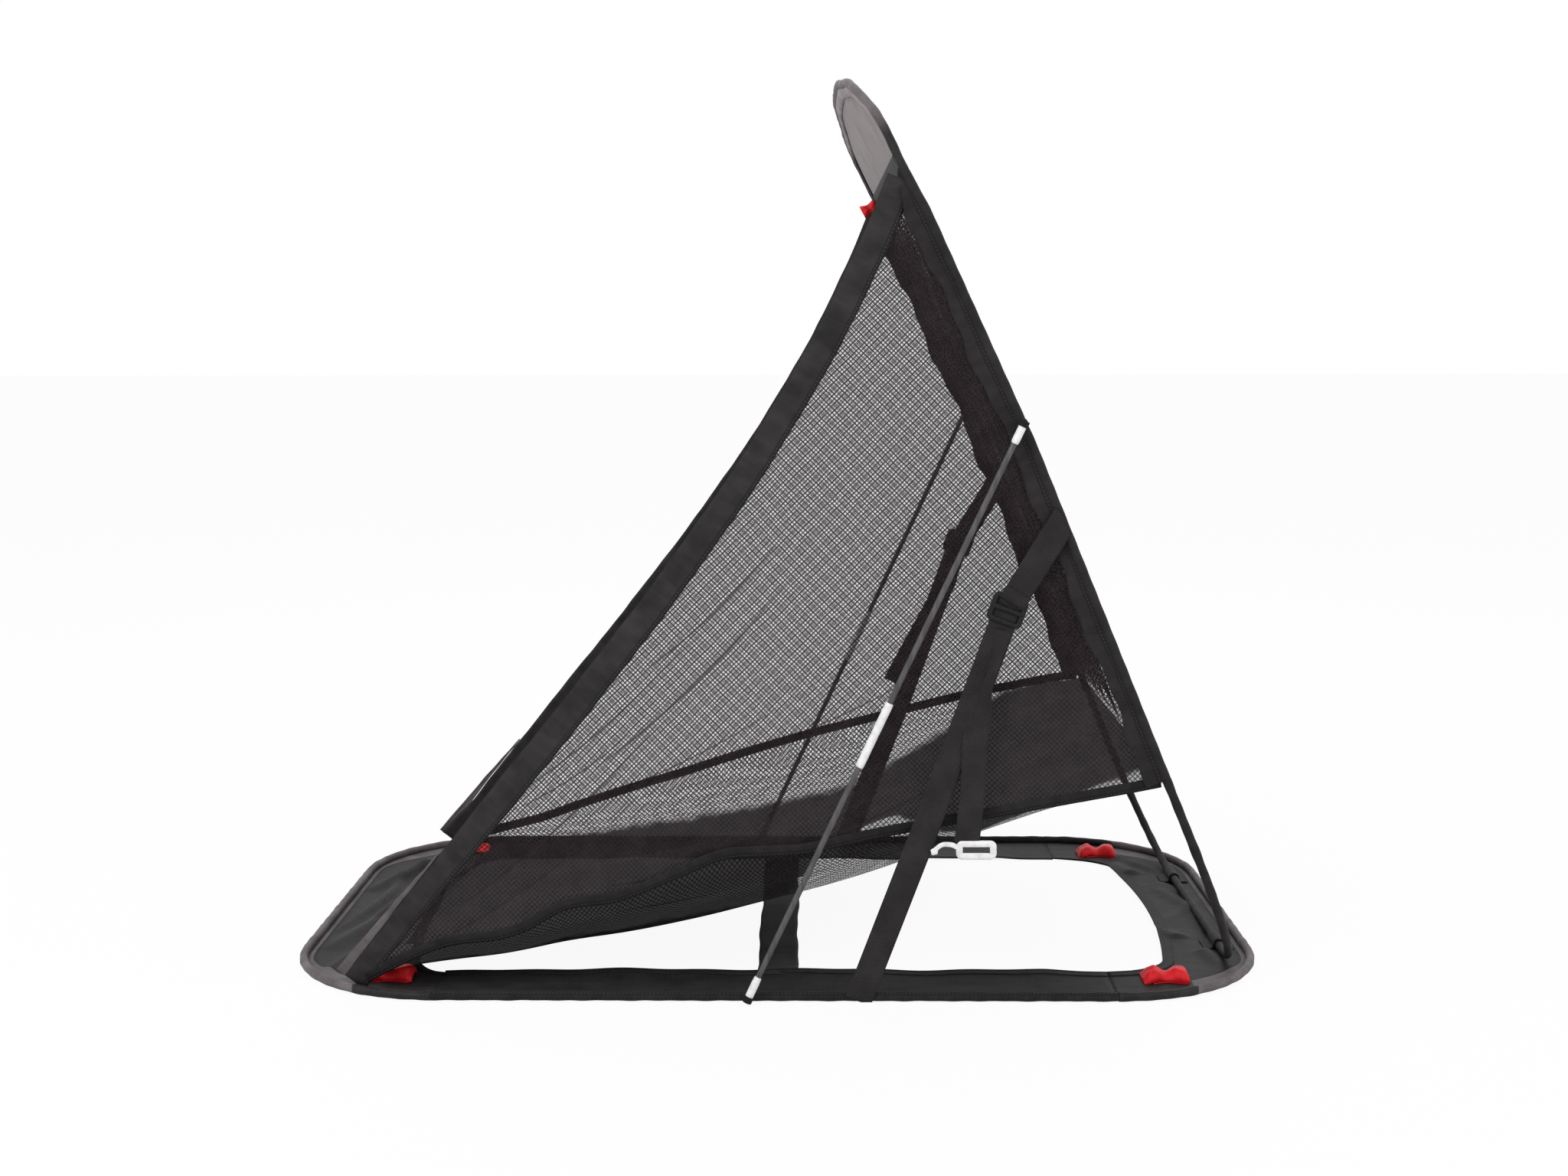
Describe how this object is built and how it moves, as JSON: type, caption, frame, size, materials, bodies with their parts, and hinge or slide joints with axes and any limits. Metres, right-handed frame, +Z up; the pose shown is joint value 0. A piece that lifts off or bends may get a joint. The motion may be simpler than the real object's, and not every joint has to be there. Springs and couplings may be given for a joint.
{
  "type": "golf chipping net",
  "caption": "Folding golf chipping net: a sprung cloth hoop on the ground, a second hoop standing from its rear end, mesh sides and hammock, two propping poles and two webbing straps.",
  "frame": {"origin": "centre of the base hoop's box, on the ground", "axes": "+X from the player's end to the hinge end, +Y to the right side, +Z up"},
  "size_m": [0.95, 0.6268, 0.8762],
  "materials": {
    "steel": "drawn spring wire",
    "black_cloth": "woven polyester",
    "black_mesh": "knitted mesh",
    "grey_cloth": "woven polyester",
    "red_cloth": "woven tape",
    "webbing": "woven webbing",
    "rod": "pultruded fibreglass",
    "white_plastic": "moulded",
    "black_plastic": "moulded"
  },
  "bodies": {
    "base": {"base_wire": "steel", "hem_front": "grey_cloth", "hem_rear": "grey_cloth", "hem_left": "black_cloth", "hem_right": "black_cloth", "band_left": "black_cloth", "band_right": "black_cloth", "floor_front": "black_cloth", "floor_rear": "black_cloth", "cross_strap": "black_cloth", "hinge_loop_left": "black_cloth", "hinge_loop_right": "black_cloth", "tab_front_left": "red_cloth", "tab_front_right": "red_cloth", "tab_rear_left": "red_cloth", "tab_rear_right": "red_cloth", "pole_patch_left": "black_cloth", "pole_patch_right": "black_cloth", "side_net_left": "black_mesh", "side_net_right": "black_mesh", "hammock_net": "black_mesh", "binding_left": "black_cloth", "binding_right": "black_cloth", "seam_left": "black_cloth", "seam_right": "black_cloth", "strap_low_left": "webbing", "strap_low_right": "webbing", "tail_left": "webbing", "tail_right": "webbing"},
    "rear_frame": {"rear_wire": "steel", "rear_foot_hem": "black_cloth", "sleeve_left": "black_cloth", "sleeve_right": "black_cloth", "crown_hem": "grey_cloth", "crown_panel": "grey_cloth", "rear_net": "black_mesh", "crown_tab_left": "red_cloth", "crown_tab_right": "red_cloth", "top_patch_left": "black_cloth", "top_patch_right": "black_cloth"},
    "hook": {"tail_hook": "white_plastic"},
    "pole_low_left": {"low_rod_left": "rod", "ferrule_left": "white_plastic", "low_tip_left": "white_plastic", "low_loop_left": "black_cloth"},
    "pole_high_left": {"high_rod_left": "rod", "high_tip_left": "white_plastic", "high_loop_left": "black_cloth"},
    "strap_left": {"strap_up_left": "webbing", "buckle_left": "black_plastic"},
    "pole_low_right": {"low_rod_right": "rod", "ferrule_right": "white_plastic", "low_tip_right": "white_plastic", "low_loop_right": "black_cloth"},
    "pole_high_right": {"high_rod_right": "rod", "high_tip_right": "white_plastic", "high_loop_right": "black_cloth"},
    "strap_right": {"strap_up_right": "webbing", "buckle_right": "black_plastic"}
  },
  "joints": [
    {"name": "fold", "type": "hinge", "parent": "base", "child": "rear_frame", "pos_m": [0.444, 0, 0.0064], "axis": [0, -1, 0], "range_deg": [0, 58], "deforming": ["side_net_left", "side_net_right", "hammock_net", "binding_left", "binding_right", "seam_left", "seam_right", "strap_low_left", "strap_low_right", "tail_left", "tail_right"]},
    {"name": "pole_low_swing_left", "type": "hinge", "parent": "base", "child": "pole_low_left", "pos_m": [-0.024, -0.30855, 0.006], "axis": [0, -1, 0], "range_deg": [0, 115.42]},
    {"name": "pole_high_swing_left", "type": "hinge", "parent": "rear_frame", "child": "pole_high_left", "pos_m": [0.2285, -0.30855, 0.53731], "axis": [0, -1, 0], "range_deg": [0, 47.42]},
    {"name": "strap_swing_left", "type": "hinge", "parent": "rear_frame", "child": "strap_left", "pos_m": [0.26569, -0.3009, 0.44774], "axis": [0, -1, 0], "range_deg": [0, 43]},
    {"name": "pole_low_swing_right", "type": "hinge", "parent": "base", "child": "pole_low_right", "pos_m": [-0.024, 0.30855, 0.006], "axis": [0, -1, 0], "range_deg": [0, 115.42]},
    {"name": "pole_high_swing_right", "type": "hinge", "parent": "rear_frame", "child": "pole_high_right", "pos_m": [0.2285, 0.30855, 0.53731], "axis": [0, -1, 0], "range_deg": [0, 47.42]},
    {"name": "strap_swing_right", "type": "hinge", "parent": "rear_frame", "child": "strap_right", "pos_m": [0.26569, 0.3009, 0.44774], "axis": [0, -1, 0], "range_deg": [0, 43]},
    {"name": "hook_drop", "type": "slide", "parent": "base", "child": "hook", "axis": [0, 0, -1], "range_m": [0, 0.125]}
  ],
  "couplings": [
    {"joint": "pole_low_swing_left", "follows": "fold", "ratio": 1.9899},
    {"joint": "pole_high_swing_left", "follows": "fold", "ratio": 0.8175},
    {"joint": "strap_swing_left", "follows": "fold", "ratio": 0.7413},
    {"joint": "pole_low_swing_right", "follows": "fold", "ratio": 1.9899},
    {"joint": "pole_high_swing_right", "follows": "fold", "ratio": 0.8175},
    {"joint": "strap_swing_right", "follows": "fold", "ratio": 0.7413},
    {"joint": "hook_drop", "follows": "fold", "m_per_rad": 0.12348}
  ]
}
